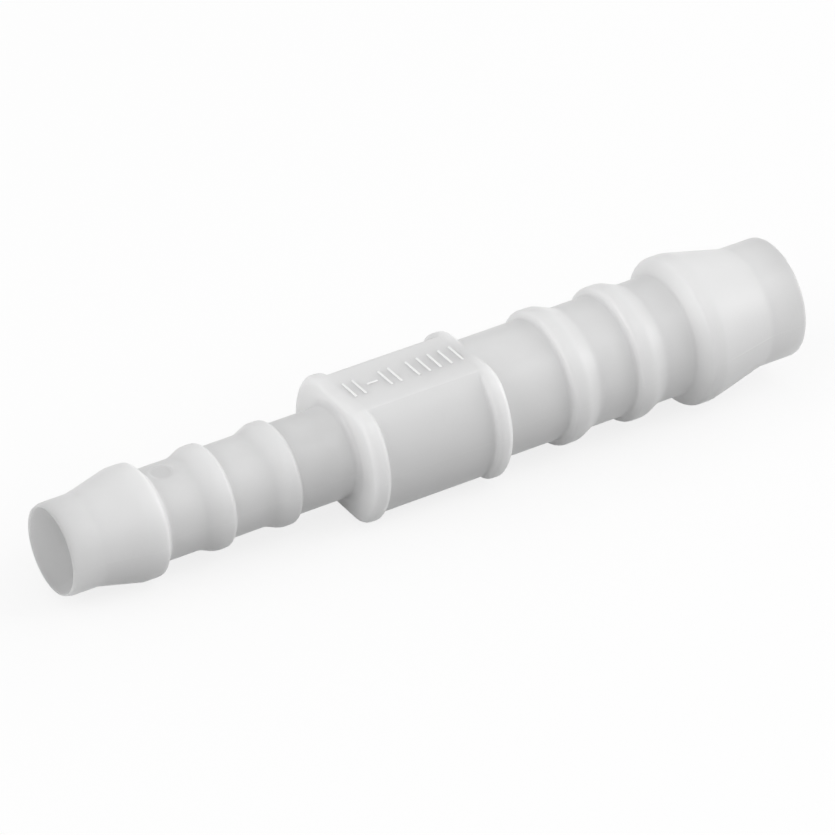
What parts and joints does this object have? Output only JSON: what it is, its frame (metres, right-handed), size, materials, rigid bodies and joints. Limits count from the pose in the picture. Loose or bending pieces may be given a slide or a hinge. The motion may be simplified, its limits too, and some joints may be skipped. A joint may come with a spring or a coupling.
{
  "type": "hose reducer",
  "caption": "Straight barbed reducer that joins a hose of one bore to a hose of a larger one, with a ridged tail at each end, a collared hub with flats between them and one passage through.",
  "frame": {"origin": "on the axis of the passage, halfway between the two tips", "axes": "+X along the passage, from the small tip to the big tip; +Z out of the top flat of the hub"},
  "size_m": [0.0534, 0.01, 0.01],
  "materials": {
    "natural_plastic": "natural, undyed moulded plastic, satin, slightly translucent"
  },
  "bodies": {
    "root": {"reducer": "natural_plastic"}
  },
  "joints": []
}
